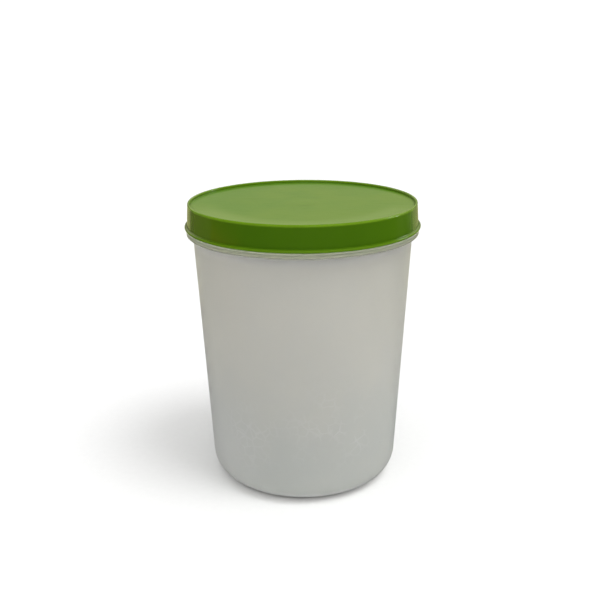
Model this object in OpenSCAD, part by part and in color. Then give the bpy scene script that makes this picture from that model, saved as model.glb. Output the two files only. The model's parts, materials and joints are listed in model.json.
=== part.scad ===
// Round tapered food container with a press-on snap lid.
// The container stands on the XY plane with its axis along +Z, and the lid is drawn closed.
// Both pieces are single mouldings, each turned from one cross-section.

/* [Container] */
// Height of the container without its lid, up to the mouth's edge
container_h = 161.4; // [130:0.2:200]
// Outer diameter of the neck, above the stop flange
neck_d = 125.6; // [100:0.2:150]
// How much smaller the tapered wall's radius is at the table than at the neck
wall_taper = 8.4; // [4:0.1:14]
// Thickness of the side wall
wall_t = 1.3; // [0.8:0.1:2.2]
// Thickness of the base
base_t = 1.6; // [1:0.1:3]
// Radius of the outer corner between the wall and the base
corner_r = 14; // [8:0.5:20]

/* [Foot] */
// Width of the flat ring that the container stands on
foot_w = 7; // [3:0.5:12]
// Height of the hollow inside that ring
foot_rise = 1.0; // [0.6:0.1:2]
// Diameter of the moulding gate's stub in the middle of the base
gate_d = 3; // [2:0.5:6]
// Gap between the end of the gate's stub and the table
gate_gap = 0.4; // [0.1:0.05:0.4]

/* [Stop flange and snap bead] */
// Height of the neck, from the stop flange up to the mouth's edge
neck_h = 10.9; // [9:0.1:16]
// How far the stop flange stands out from the neck
flange_out = 3.7; // [3:0.1:6]
// Thickness of the stop flange
flange_t = 1.5; // [1:0.1:2.4]
// Height of the stop flange with the lip that turns down from its edge
lip_drop = 3.3; // [2.6:0.1:6]
// Thickness of that lip
lip_t = 1.1; // [0.8:0.1:1.5]
// Bevel on the lower edges of that lip, and of the lid's plug ring
lip_bevel = 0.25; // [0.1:0.05:0.3]
// How far the lip's face is set back from the flange's edge
lip_inset = 0.3; // [0:0.05:0.6]
// Distance from the mouth's edge down to the middle of the snap bead
bead_down = 4; // [3.4:0.1:5]
// How far the snap bead stands out from the neck
bead_out = 0.95; // [0.5:0.05:1.3]
// Radius of the snap bead's rounded crest
bead_r = 1.6; // [1:0.1:2]

/* [Lid] */
// Thickness of the lid's round panel
panel_t = 1.4; // [1:0.1:2.4]
// Thickness of the lid's skirt
skirt_t = 1.3; // [0.9:0.1:2]
// How much wider the skirt's radius is at its foot than at its top
skirt_draft = 0.8; // [0.2:0.1:1.6]
// Height of the raised ring round the panel
ring_h = 1.8; // [1.4:0.1:4]
// Width of that ring
ring_w = 1.6; // [1:0.1:1.8]
// How far the lid's foot flange stands out from the skirt
foot_out = 1.3; // [0.6:0.1:3]
// Thickness of the lid's foot flange
foot_t = 1.6; // [1:0.1:3]
// How far the plug ring reaches down into the mouth
plug_h = 4.5; // [2:0.1:8]
// Thickness of the plug ring
plug_t = 1.1; // [0.7:0.1:2]
// Radius of the lid's own snap bead
catch_r = 1.2; // [0.8:0.1:1.6]
// Radius of the inner corners at the foot of the ring and over the foot flange
edge_fillet = 0.5; // [0.2:0.1:0.5]
// Diameter of the shallow dish at the moulding gate, in the middle of the panel
dish_d = 20; // [14:1:40]
// Width of the dish's gently sloping edge
dish_edge = 5; // [2:0.5:6]
// Depth of the dish
dish_deep = 0.15; // [0.05:0.05:0.4]

/* [Fits] */
// How much the lid's snap bead and the neck's overlap as they pass, per side
snap_bite = 0.4; // [0.1:0.05:0.6]
// Gap between the two snap beads when the lid is closed
catch_gap = 0.4; // [0.2:0.05:0.8]
// Gap between the skirt's inside and the neck's snap bead
skirt_gap = 0.4; // [0.2:0.05:1]
// Gap between the plug ring and the mouth's wall
plug_gap = 0.2; // [0.1:0.05:0.5]
// Gap between the mouth's edge and the lid's panel
mouth_gap = 0.3; // [0.1:0.05:0.6]

/* [Hidden] */
$fn = 96;
eps = 0.01;                   // overlap that joins two shapes of one moulding

neck_r = neck_d / 2;
base_r = neck_r - wall_taper;                   // the wall's line carried down to the table
stop_z = container_h - neck_h;                  // top face of the stop flange, where the lid sits
wall_slope = (neck_r - base_r) / stop_z;        // growth of the wall's radius per millimetre up
mouth_r = neck_r - wall_t;                      // inside of the neck
flange_r = neck_r + flange_out;
crest_r = neck_r + bead_out;                    // crest of the neck's snap bead
bead_z = container_h - bead_down;

panel_z = container_h + mouth_gap;              // underside of the lid's panel
panel_top = panel_z + panel_t;
lid_top = panel_top + ring_h;
skirt_h = lid_top - stop_z;
// The skirt clears the neck's bead by skirt_gap at the bead's own height.
skirt_slope = skirt_draft / skirt_h;
skirt_top_r = crest_r + skirt_gap + skirt_t - skirt_slope * (lid_top - bead_z);
catch_crest = crest_r - snap_bite;              // inner radius of the lid's snap bead
catch_x = catch_crest + catch_r;                // middle of its rounded section
bead_x = crest_r - bead_r;
// The two rounded beads are catch_gap apart along the line between their middles.
catch_z = bead_z - sqrt(pow(bead_r + catch_r + catch_gap, 2) - pow(catch_x - bead_x, 2));

function wall_at(z) = base_r + wall_slope * z;
function skirt_at(z) = skirt_top_r + skirt_slope * (lid_top - z);
// Radius where a round corner c leaves the floor at height z0, below a wall of radius r0.
function floor_edge(r0, slope, z0, c) = r0 + slope * (z0 + c) - c / cos(atan(slope));

foot_in_r = floor_edge(base_r, wall_slope, 0, corner_r) - foot_w;

// Half cross-section of a tapered pot: radius r0 at height 0 growing by slope, a floor at
// z0, a top at z1, and a round corner of radius c that touches both the floor and the wall.
module pot_section(r0, slope, z0, z1, c) {
    lean = atan(slope);
    cx = floor_edge(r0, slope, z0, c);
    cz = z0 + c;
    translate([cx, cz]) circle(c);
    polygon([
        [0, z0],
        [cx, z0],
        [cx, cz],
        [cx + c * cos(lean), cz - c * sin(lean)],
        [r0 + slope * z1, z1],
        [0, z1]
    ]);
}

// An upright bar with a bevelled lower end, from height z0 to z1 between radii x0 and x1.
module lip_section(x0, x1, z0, z1) {
    polygon([
        [x0 + lip_bevel, z0],
        [x1 - lip_bevel, z0],
        [x1, z0 + lip_bevel],
        [x1, z1],
        [x0, z1],
        [x0, z0 + lip_bevel]
    ]);
}

// Shallow cone-sided disc: the hollow under the base, and the floor raised over it.
module foot_disc_section(z) {
    polygon([
        [0, z - eps],
        [foot_in_r, z - eps],
        [foot_in_r - foot_rise, z + foot_rise],
        [0, z + foot_rise]
    ]);
}

module container_inside_section() {
    difference() {
        union() {
            pot_section(base_r - wall_t, wall_slope, base_t, stop_z, corner_r - base_t);
            translate([0, stop_z - eps]) square([mouth_r, neck_h + eps]);
        }
        foot_disc_section(base_t);
    }
}

module container_wall_section() {
    difference() {
        union() {
            pot_section(base_r, wall_slope, 0, stop_z, corner_r);
            translate([0, stop_z - eps]) square([neck_r, neck_h - wall_t / 2 + eps]);
        }
        container_inside_section();
        foot_disc_section(0);
    }
    // round edge of the mouth
    translate([neck_r - wall_t / 2, container_h - wall_t / 2]) circle(wall_t / 2);
}

// Flat flange that the lid sits on, with a round edge and a lip turned down from it.
module stop_flange_section() {
    root = wall_at(stop_z - flange_t) - wall_t / 2;
    edge = flange_r - flange_t / 2;
    translate([root, stop_z - flange_t]) square([edge - root, flange_t]);
    translate([edge, stop_z - flange_t / 2]) circle(flange_t / 2);
    lip_face = flange_r - lip_inset;
    lip_section(lip_face - lip_t, lip_face, stop_z - lip_drop, stop_z - flange_t / 2);
}

module snap_bead_section() {
    intersection() {
        translate([bead_x, bead_z]) circle(bead_r);
        translate([neck_r - wall_t / 2, bead_z - bead_r]) square([2 * bead_r, 2 * bead_r]);
    }
}

module container() {
    color([0.80, 0.81, 0.78, 0.8]) {
        rotate_extrude() {
            container_wall_section();
            stop_flange_section();
            snap_bead_section();
        }
        translate([0, 0, gate_gap]) cylinder(h = foot_rise - gate_gap + eps, d = gate_d);
    }
}

// Panel with the raised ring round it, which runs down into the skirt.
module lid_shell_section() {
    square_top = lid_top - ring_w / 2;
    // panel
    translate([0, panel_z]) square([skirt_top_r - ring_w / 2, panel_t]);
    // skirt and ring, one sloping band from the foot to the ring's round edge
    polygon([
        [skirt_at(stop_z) - skirt_t, stop_z],
        [skirt_at(stop_z), stop_z],
        [skirt_at(square_top), square_top],
        [skirt_at(square_top) - ring_w, square_top],
        [skirt_at(square_top) - ring_w, panel_z],
        [skirt_at(panel_z) - skirt_t, panel_z]
    ]);
    translate([skirt_at(square_top) - ring_w / 2, square_top]) circle(ring_w / 2);
}

// Small round corner where the panel meets the inside of its ring.
module ring_fillet_section() {
    x = skirt_at(lid_top - ring_w / 2) - ring_w - edge_fillet;
    difference() {
        translate([x, panel_top - eps]) square([edge_fillet + ring_w / 2, edge_fillet + eps]);
        translate([x, panel_top + edge_fillet]) circle(edge_fillet);
    }
}

// Foot flange that rests on the container's stop flange, with a round outer edge.
module lid_foot_section() {
    inner = skirt_at(stop_z) - skirt_t;
    outer = skirt_at(stop_z) + foot_out;
    foot_top = stop_z + foot_t;
    translate([inner, stop_z]) square([outer - foot_t / 2 - inner, foot_t]);
    translate([outer - foot_t / 2, stop_z + foot_t / 2]) circle(foot_t / 2);
    // small round corner between the foot flange and the skirt
    x = skirt_at(foot_top + edge_fillet);
    difference() {
        translate([x - skirt_t / 2, foot_top - eps])
            square([skirt_t / 2 + edge_fillet, edge_fillet + eps]);
        translate([x + edge_fillet, foot_top + edge_fillet]) circle(edge_fillet);
    }
}

module catch_section() {
    intersection() {
        translate([catch_x, catch_z]) circle(catch_r);
        translate([catch_crest, catch_z - catch_r])
            square([skirt_at(catch_z) - skirt_t / 2 - catch_crest, 2 * catch_r]);
    }
}

// Ring that plugs the mouth from inside and seals it.
module plug_section() {
    r = mouth_r - plug_gap;
    lip_section(r - plug_t, r, panel_z - plug_h, panel_z + eps);
}

// Shallow dish at the moulding gate: a flat floor with a gently sloping edge.
module dish_section() {
    polygon([
        [0, panel_top - dish_deep],
        [dish_d / 2 - dish_edge, panel_top - dish_deep],
        [dish_d / 2, panel_top],
        [dish_d / 2, panel_top + eps],
        [0, panel_top + eps]
    ]);
}

module lid() {
    color([0.33, 0.55, 0.08])
    rotate_extrude() {
        difference() {
            lid_shell_section();
            dish_section();
        }
        ring_fillet_section();
        lid_foot_section();
        catch_section();
        plug_section();
    }
}

container();
lid();
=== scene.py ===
"""Looks of the snap lid food container: materials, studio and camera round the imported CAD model.

Everything is in metres, in the model's own frame: +Z up, the container stands on z = 0, and the camera
stands on the -Y side. Left and right are as the camera sees them, so right is +X. Colours are linear.
"""

import json
import math

import bpy
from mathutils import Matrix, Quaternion, Vector


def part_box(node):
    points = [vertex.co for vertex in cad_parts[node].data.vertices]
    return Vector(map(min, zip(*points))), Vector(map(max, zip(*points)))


MM = 0.001
WHITE = (1.0, 1.0, 1.0, 1)

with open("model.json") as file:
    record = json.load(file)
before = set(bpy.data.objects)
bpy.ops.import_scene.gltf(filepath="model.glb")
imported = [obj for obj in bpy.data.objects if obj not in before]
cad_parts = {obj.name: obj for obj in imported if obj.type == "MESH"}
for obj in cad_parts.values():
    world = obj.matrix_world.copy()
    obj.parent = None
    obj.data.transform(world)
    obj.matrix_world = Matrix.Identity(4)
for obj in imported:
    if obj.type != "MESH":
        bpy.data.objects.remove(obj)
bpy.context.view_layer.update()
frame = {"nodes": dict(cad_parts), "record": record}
container = frame["nodes"]["container"]
lid = frame["nodes"]["lid"]
container_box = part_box("container")
lid_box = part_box("lid")

# Heights and radii that the materials follow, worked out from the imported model.
TOP = lid_box[1].z                        # crest of the lid's raised ring
SEAT = lid_box[0].z                       # where the lid's foot flange rests
PANEL = frame["record"]["mounts"][1]["pos_m"][2]
PANEL_R = lid_box[1].x - 3.4 * MM         # inside of the raised ring
HEIGHT = container_box[1].z
RIM_R = container_box[1].x - 2.6 * MM     # the stop flange's outer part and its lip lie outside this


# ---------------------------------------------------------------- node helpers

class Nodes:
    """Short calls for the nodes of one material or world."""

    def __init__(self, node_tree):
        self.nodes = node_tree.nodes
        self.links = node_tree.links

    def put(self, socket, value):
        if isinstance(value, bpy.types.NodeSocket):
            self.links.new(value, socket)
        else:
            socket.default_value = value

    def math(self, operation, a, b, clamp=False):
        node = self.nodes.new("ShaderNodeMath")
        node.operation = operation
        node.use_clamp = clamp
        self.put(node.inputs[0], a)
        self.put(node.inputs[1], b)
        return node.outputs[0]

    def product(self, a, b):
        return self.math("MULTIPLY", a, b)

    def ramp(self, value, low, high, out_low=0.0, out_high=1.0):
        """value from low to high carried over smoothly to out_low to out_high, and held outside."""
        node = self.nodes.new("ShaderNodeMapRange")
        node.interpolation_type = "SMOOTHSTEP"
        self.put(node.inputs["Value"], value)
        self.put(node.inputs["From Min"], low)
        self.put(node.inputs["From Max"], high)
        self.put(node.inputs["To Min"], out_low)
        self.put(node.inputs["To Max"], out_high)
        return node.outputs["Result"]

    def fade(self, value, low, high):
        """1 up to low, falling smoothly to 0 at high."""
        return self.ramp(value, low, high, 1.0, 0.0)

    def mix(self, share, a, b, kind="RGBA"):
        """A colour, or a number where kind is FLOAT, that goes from a to b as share goes from 0 to 1."""
        node = self.nodes.new("ShaderNodeMix")
        node.data_type = kind
        self.put(node.inputs["Factor"], share)
        self.put(node.inputs["A"], a)
        self.put(node.inputs["B"], b)
        return node.outputs["Result"]

    def split(self, vector):
        node = self.nodes.new("ShaderNodeSeparateXYZ")
        self.links.new(vector, node.inputs[0])
        return node.outputs

    def ray(self, kind):
        """1 for rays of that kind, and 0 for all others."""
        return self.nodes.new("ShaderNodeLightPath").outputs[kind]


class Tree(Nodes):
    """A material, with patterns that follow the object's own coordinates."""

    def __init__(self, name):
        self.material = bpy.data.materials.new(name)
        self.material.use_nodes = True
        super().__init__(self.material.node_tree)
        self.shader = self.nodes["Principled BSDF"]
        self.output = self.nodes["Material Output"]
        self.position = self.nodes.new("ShaderNodeTexCoord").outputs["Object"]
        self.x, self.y, self.z = self.split(self.position)

    def radius(self):
        squares = self.math("ADD", self.product(self.x, self.x), self.product(self.y, self.y))
        return self.math("SQRT", squares, 0.0)

    def near(self, centre, reach):
        """1 at a place on the object, falling smoothly to 0 at the distance reach."""
        node = self.nodes.new("ShaderNodeVectorMath")
        node.operation = "DISTANCE"
        self.links.new(self.position, node.inputs[0])
        node.inputs[1].default_value = centre
        return self.fade(node.outputs["Value"], 0.0, reach)

    def stretched(self, scale):
        """The object's coordinates multiplied by scale along X, Y and Z."""
        node = self.nodes.new("ShaderNodeMapping")
        node.inputs["Scale"].default_value = scale
        self.links.new(self.position, node.inputs["Vector"])
        return node.outputs[0]

    def warped(self, scale, reach):
        """The object's coordinates shifted about by up to reach, so that straight patterns bend."""
        wander = self.nodes.new("ShaderNodeTexNoise")
        wander.inputs["Scale"].default_value = scale
        self.links.new(self.position, wander.inputs["Vector"])
        node = self.nodes.new("ShaderNodeVectorMath")
        node.operation = "MULTIPLY_ADD"
        self.links.new(wander.outputs["Color"], node.inputs[0])
        node.inputs[1].default_value = (reach, reach, reach)
        self.links.new(self.position, node.inputs[2])
        return node.outputs[0]

    def noise(self, scale, detail=3.0, roughness=0.5, vector=None):
        node = self.nodes.new("ShaderNodeTexNoise")
        self.links.new(vector or self.position, node.inputs["Vector"])
        node.inputs["Scale"].default_value = scale
        node.inputs["Detail"].default_value = detail
        node.inputs["Roughness"].default_value = roughness
        return node.outputs["Fac"]

    def cell_edges(self, scale, vector):
        """Distance to the nearest border between irregular cells."""
        node = self.nodes.new("ShaderNodeTexVoronoi")
        node.feature = "DISTANCE_TO_EDGE"
        self.links.new(vector, node.inputs["Vector"])
        node.inputs["Scale"].default_value = scale
        return node.outputs["Distance"]

    def bumped(self, height, distance, strength, over=None):
        """The surface's normal with height as relief, on top of the relief over."""
        node = self.nodes.new("ShaderNodeBump")
        self.links.new(height, node.inputs["Height"])
        node.inputs["Distance"].default_value = distance
        node.inputs["Strength"].default_value = strength
        if over is not None:
            self.links.new(over, node.inputs["Normal"])
        return node.outputs[0]


def use(node, material):
    node.data.materials.clear()
    node.data.materials.append(material)


# ---------------------------------------------------------------- container

def wall_colour(t):
    """Painted light and shade on the wall: darker and cooler low down, brighter and warmer up high as under
    yellowish light from above, in soft clouds of the plastic's own uneven tone; painted shade high on both
    sides, painted light low on the left and in the corner.
    """
    painted_shade_low = (0.605, 0.637, 0.580, 1)
    painted_warm_light_high = (0.800, 0.765, 0.620, 1)
    painted_side_shade = (0.600, 0.590, 0.500, 1)
    painted_low_left_light = (0.750, 0.772, 0.712, 1)
    painted_corner_light = (0.970, 0.970, 0.940, 1)
    cloud = t.product(t.math("SUBTRACT", t.noise(28.0, detail=2.0), 0.5), 0.5)
    painted_light_share = t.math("ADD", t.ramp(t.z, 0.1 * HEIGHT, 0.8 * HEIGHT), cloud, clamp=True)
    # painted light and shade: darker and cooler low down, brighter and warmer higher up
    colour = t.mix(painted_light_share, painted_shade_low, painted_warm_light_high)
    left = t.fade(t.x, -60.0 * MM, -15.0 * MM)
    right = t.ramp(t.x, 15.0 * MM, 60.0 * MM)
    # painted shade: high up the wall is darker at both sides, most on the right, against the key light from
    # the right
    high = t.ramp(t.z, 0.40 * HEIGHT, 0.85 * HEIGHT)
    sides = t.math("MAXIMUM", right, t.product(left, 0.65))
    colour = t.mix(t.product(sides, high), colour, painted_side_shade)
    # painted light: low down the wall is brighter on the left, standing in for light that passes through the
    # plastic
    low = t.fade(t.z, 0.10 * HEIGHT, 0.50 * HEIGHT)
    colour = t.mix(t.product(left, low), colour, painted_low_left_light)
    # painted light: brightest in the thick round corner just above the table, lightening the shade where it
    # meets the table
    return t.mix(t.fade(t.z, 1.0 * MM, 8.0 * MM), colour, painted_corner_light)


def cell_network(t):
    """Faint network of cells in patches low on the front of the wall."""
    edges = t.cell_edges(175.0, t.warped(120.0, 4.0 * MM))
    lines = t.fade(edges, 0.0, 0.13)
    right = t.near((16.0 * MM, -55.0 * MM, 48.0 * MM), 42.0 * MM)
    left = t.near((-30.0 * MM, -48.0 * MM, 40.0 * MM), 34.0 * MM)
    strongest = t.near((28.0 * MM, -50.0 * MM, 42.0 * MM), 18.0 * MM)
    patches = t.math("ADD", t.math("MAXIMUM", right, left), strongest)
    gaps = t.ramp(t.noise(70.0, detail=2.0), 0.35, 0.65)
    return t.product(lines, t.product(patches, gaps))


def rim_painted_shade(t):
    """Painted shade on the stop flange and its lip, grey-green as under the green lid, with a painted shadow
    along the lip's lower edge and a painted highlight along the top.
    """
    painted_shadow_line = (0.090, 0.098, 0.070, 1)
    painted_shade_under_lid = (0.275, 0.295, 0.215, 1)
    painted_highlight_top = (0.54, 0.57, 0.43, 1)
    # painted shadow along the lip's lower edge
    colour = t.mix(t.ramp(t.z, SEAT - 3.1 * MM, SEAT - 2.2 * MM), painted_shadow_line, painted_shade_under_lid)
    # painted highlight along the top of the flange
    return t.mix(t.ramp(t.z, SEAT - 1.0 * MM, SEAT - 0.5 * MM), colour, painted_highlight_top)


def milky_plastic():
    """Natural polypropylene: milky, lets light through, satin moulded surface with faint cells and scuffs."""
    t = Tree("container_plastic")
    network = cell_network(t)
    colour = t.mix(t.product(network, 0.12), wall_colour(t), WHITE)
    # painted light: the wall is brighter just under the stop flange, cancelling the flange's shade there and
    # standing in for light that passes through the plastic
    painted_light_under_flange = (0.890, 0.865, 0.735, 1)
    band_start = t.ramp(t.z, SEAT - 11.0 * MM, SEAT - 4.0 * MM)
    band_end = t.fade(t.z, SEAT - 3.0 * MM, SEAT)
    colour = t.mix(t.product(band_start, band_end), colour, painted_light_under_flange)
    # painted shade and painted highlight on the stop flange and its lip, outside RIM_R
    colour = t.mix(t.ramp(t.radius(), RIM_R - 0.5 * MM, RIM_R), colour, rim_painted_shade(t))
    t.put(t.shader.inputs["Base Color"], colour)

    upright = t.stretched((1.0, 1.0, 0.25))
    scuffs = t.ramp(t.noise(160.0, detail=4.0, roughness=0.7, vector=upright), 0.45, 0.75)
    t.put(t.shader.inputs["Roughness"], t.ramp(scuffs, 0.0, 1.0, 0.40, 0.55))

    grain = t.bumped(t.noise(1400.0, detail=2.0), 0.02 * MM, 0.5)
    waves = t.math("ADD", t.noise(35.0, detail=1.0), t.product(network, 0.4))
    t.put(t.shader.inputs["Normal"], t.bumped(waves, 0.15 * MM, 0.5, over=grain))

    t.shader.inputs["IOR"].default_value = 1.49
    t.shader.inputs["Subsurface Weight"].default_value = 1.0
    t.shader.inputs["Subsurface Radius"].default_value = (1.0, 1.0, 1.0)
    t.shader.inputs["Subsurface Scale"].default_value = 9.0 * MM
    return t.material


# ---------------------------------------------------------------- lid

def panel_share(t, radius):
    """1 on the sunk round panel, and 0 on the ring, the skirt and the flange."""
    inside = t.fade(radius, PANEL_R - 0.6 * MM, PANEL_R)
    high = t.ramp(t.z, PANEL - 1.0 * MM, PANEL - 0.4 * MM)
    return t.product(inside, high)


def skirt_colour(t):
    """Deep green in faint clouds, with a painted brown reflection of wood to the left and painted light
    making it brighter to the right.
    """
    deep = (0.0480, 0.1210, 0.0020, 1)
    clouded = (0.0500, 0.1250, 0.0024, 1)
    painted_wood_reflection = (0.070, 0.132, 0.0035, 1)
    painted_light_right = (0.062, 0.150, 0.0030, 1)
    colour = t.mix(t.ramp(t.noise(22.0, detail=2.0), 0.3, 0.7), deep, clouded)
    # painted reflection of wood: more brown to the left
    colour = t.mix(t.fade(t.x, -60.0 * MM, -25.0 * MM), colour, painted_wood_reflection)
    # painted light: brighter to the right
    return t.mix(t.ramp(t.x, 25.0 * MM, 60.0 * MM), colour, painted_light_right)


def panel_colour(t):
    """Light green in soft clouds, with painted sheen: greener, with less painted sheen, to the left and at
    the rear.
    """
    light = (0.108, 0.224, 0.0060, 1)
    greener = (0.080, 0.204, 0.0035, 1)
    # painted reflection: less sheen, so greener, to the left and at the rear
    side = t.math("ADD", t.product(t.y, 6.0), t.product(t.x, -4.0))
    drift = t.math("ADD", side, t.product(t.noise(38.0, detail=3.0), 2.0))
    return t.mix(t.ramp(drift, 0.6, 1.5), light, greener)


def green_plastic():
    """Leaf-green polyethylene: polished skirt and flange, satin panel with a fine texture and scratches,
    with painted light on the ring's crest and the flange's edge, and painted reflections on the panel and the
    skirt."""
    t = Tree("lid_plastic")
    radius = t.radius()
    panel = panel_share(t, radius)
    elsewhere = t.math("SUBTRACT", 1.0, panel)
    colour = t.mix(panel, skirt_colour(t), panel_colour(t))
    # painted reflection: a pale band along the front of the panel
    pale = (0.148, 0.262, 0.035, 1)
    front = t.product(t.ramp(radius, 43.0 * MM, 55.0 * MM), t.fade(t.y, -30.0 * MM, 0.0))
    colour = t.mix(t.product(front, panel), colour, pale)
    # painted light: the ring's crest and the flange's edge are painted a brighter green
    painted_light_green = (0.125, 0.245, 0.009, 1)
    crest = t.ramp(t.z, TOP - 1.6 * MM, TOP - 0.8 * MM)
    flange = t.product(t.fade(t.z, SEAT + 1.2 * MM, SEAT + 2.0 * MM), 0.55)
    colour = t.mix(t.math("MAXIMUM", crest, flange), colour, painted_light_green)
    t.put(t.shader.inputs["Base Color"], colour)

    across = t.stretched((1.0, 14.0, 1.0))
    scratches = t.ramp(t.noise(60.0, detail=6.0, roughness=0.75, vector=across), 0.52, 0.75)
    satin = t.math("ADD", 0.36, t.product(scratches, 0.12))
    streaks = t.noise(500.0, detail=3.0, vector=t.stretched((1.0, 1.0, 0.02)))
    polish = t.math("ADD", 0.07, t.product(streaks, 0.08))
    roughness = t.math("ADD", t.product(panel, satin), t.product(elsewhere, polish))
    t.put(t.shader.inputs["Roughness"], roughness)

    texture = t.product(t.noise(2200.0, detail=2.0), panel)
    surface = t.bumped(texture, 0.03 * MM, 0.6)
    surface = t.bumped(t.product(streaks, elsewhere), 0.02 * MM, 0.4, over=surface)
    sink = t.noise(40.0, detail=1.0)
    t.put(t.shader.inputs["Normal"], t.bumped(sink, 0.10 * MM, 0.5, over=surface))
    t.shader.inputs["IOR"].default_value = 1.5
    return t.material


use(container, milky_plastic())
use(lid, green_plastic())


# ---------------------------------------------------------------- studio

def floor_material():
    """White paper for the camera and for soft light. In mirror-like reflections it is dark round the object,
    as with a black card lying there, and pale further behind."""
    t = Tree("floor_paper")
    paper = t.mix(t.noise(300.0), (0.84, 0.84, 0.84, 1), (0.88, 0.88, 0.88, 1))
    t.put(t.shader.inputs["Base Color"], paper)
    t.shader.inputs["Roughness"].default_value = 0.9
    t.shader.inputs["Specular IOR Level"].default_value = 0.1
    mirrored = t.nodes.new("ShaderNodeEmission")
    mirrored.inputs["Color"].default_value = (1.0, 0.95, 0.62, 1)
    t.put(mirrored.inputs["Strength"], t.ramp(t.y, 0.30, 0.95, 0.005, 0.50))
    blend = t.nodes.new("ShaderNodeMixShader")
    t.put(blend.inputs["Fac"], t.ray("Is Glossy Ray"))
    t.put(blend.inputs[1], t.shader.outputs[0])
    t.put(blend.inputs[2], mirrored.outputs[0])
    t.put(t.output.inputs["Surface"], blend.outputs[0])
    return t.material


def make_floor(half_width):
    h = half_width
    mesh = bpy.data.meshes.new("floor")
    mesh.from_pydata([(-h, -h, 0.0), (h, -h, 0.0), (h, h, 0.0), (-h, h, 0.0)], [], [(0, 1, 2, 3)])
    floor = bpy.data.objects.new("floor", mesh)
    bpy.context.scene.collection.objects.link(floor)
    use(floor, floor_material())


def make_world(seen, light, mirrored, tint):
    """A plain white room: its brightness to the camera, as soft light, and in mirror-like reflections, where
    it is tinted, dark on the camera's side and brightest behind the object and above the horizon."""
    world = bpy.data.worlds.new("room")
    bpy.context.scene.world = world
    world.use_nodes = True
    n = Nodes(world.node_tree)
    background = n.nodes["Background"]
    towards = n.split(n.nodes.new("ShaderNodeTexCoord").outputs["Generated"])
    above_horizon = n.ramp(towards["Z"], 0.04, 0.36, 0.0, mirrored)
    below_ceiling = n.ramp(towards["Z"], 0.45, 0.9, 1.0, 0.15)
    behind = n.ramp(towards["Y"], 0.40, 0.95)
    reflected = n.product(behind, n.product(above_horizon, below_ceiling))
    glossy = n.ray("Is Glossy Ray")
    unseen = n.mix(glossy, light, reflected, "FLOAT")
    n.put(background.inputs["Strength"], n.mix(n.ray("Is Camera Ray"), unseen, seen, "FLOAT"))
    n.put(background.inputs["Color"], n.mix(glossy, WHITE, tint))


def make_sun(name, azimuth, elevation, softness, strength):
    """A large soft light far away, unseen in reflections. Azimuth 0 is the camera's side and 90 is +X."""
    data = bpy.data.lights.new(name, "SUN")
    data.angle = math.radians(softness)
    data.energy = strength
    sun = bpy.data.objects.new(name, data)
    a, e = math.radians(azimuth), math.radians(elevation)
    towards = Vector((math.sin(a) * math.cos(e), -math.cos(a) * math.cos(e), math.sin(e)))
    sun.rotation_mode = "QUATERNION"
    sun.rotation_quaternion = (-towards).to_track_quat("-Z", "Y")
    sun.visible_glossy = False
    bpy.context.scene.collection.objects.link(sun)


def glowing(name, brightness, colour):
    material = bpy.data.materials.new(name)
    material.use_nodes = True
    n = Nodes(material.node_tree)
    glow = n.nodes.new("ShaderNodeEmission")
    glow.inputs["Strength"].default_value = brightness
    glow.inputs["Color"].default_value = colour
    n.put(n.nodes["Material Output"].inputs["Surface"], glow.outputs[0])
    return material


OLIVE = (1.0, 0.96, 0.45, 1)
WOOD = (1.0, 0.40, 0.05, 1)


def make_card(name, azimuth, width, brightness, distance=0.35, low=0.0, high=0.13, colour=OLIVE):
    """An upright glowing card that only mirror-like reflections see. Azimuth and width are in degrees."""
    a = math.radians(azimuth)
    centre = Vector((math.sin(a), -math.cos(a), 0.0)) * distance
    along = Vector((math.cos(a), math.sin(a), 0.0)) * distance * math.tan(math.radians(width / 2))
    bottom, top = Vector((0.0, 0.0, low)), Vector((0.0, 0.0, high))
    corners = [
        centre - along + bottom,
        centre + along + bottom,
        centre + along + top,
        centre - along + top,
    ]
    mesh = bpy.data.meshes.new(name)
    mesh.from_pydata(corners, [], [(0, 1, 2, 3)])
    card = bpy.data.objects.new(name, mesh)
    use(card, glowing(name, brightness, colour))
    for seen_by in ("visible_camera", "visible_diffuse", "visible_shadow", "visible_transmission"):
        setattr(card, seen_by, False)
    bpy.context.scene.collection.objects.link(card)


def make_camera(distance, height, pitch, yaw, roll, lens):
    """The camera, on the -Y side and looking towards +Y, down by pitch. Angles are in degrees."""
    data = bpy.data.cameras.new("camera")
    data.sensor_width = 36.0
    data.lens = lens
    camera = bpy.data.objects.new("camera", data)
    camera.location = (0.0, -distance, height)
    p, y = math.radians(pitch), math.radians(yaw)
    forward = Vector((math.sin(y) * math.cos(p), math.cos(y) * math.cos(p), -math.sin(p)))
    level = forward.to_track_quat("-Z", "Y")
    camera.rotation_mode = "QUATERNION"
    camera.rotation_quaternion = level @ Quaternion((0, 0, 1), -math.radians(roll))
    bpy.context.scene.collection.objects.link(camera)
    bpy.context.scene.camera = camera


make_floor(half_width=30.0)
make_world(seen=1.1, light=0.42, mirrored=1.05, tint=(0.97, 0.92, 0.62, 1))
make_sun("key", azimuth=57, elevation=65, softness=26, strength=1.12)
make_sun("overhead", azimuth=20, elevation=74, softness=90, strength=1.75)

# What the polished skirt mirrors: thin strips and broad pale walls on both sides, wood on the left, a window
# high on the right.
make_card("strip_1", azimuth=97, width=2, brightness=0.22)
make_card("strip_2", azimuth=103, width=3, brightness=0.26)
make_card("strip_3", azimuth=121, width=2, brightness=0.25)
make_card("side_right", azimuth=147, width=38, brightness=0.44)
make_card("side_left", azimuth=-113, width=44, brightness=0.15)
make_card("back_left", azimuth=-153, width=36, brightness=0.50)
make_card("wood_left", azimuth=-74, width=34, brightness=0.32, high=0.11, colour=WOOD)
make_card("window", azimuth=118, width=8, brightness=8.0, distance=1.2, low=0.5, high=0.9, colour=WHITE)

make_camera(distance=0.4932, height=0.2628, pitch=17.74, yaw=-0.212, roll=0.469, lens=52.77)
bpy.context.scene.view_settings.view_transform = "Standard"
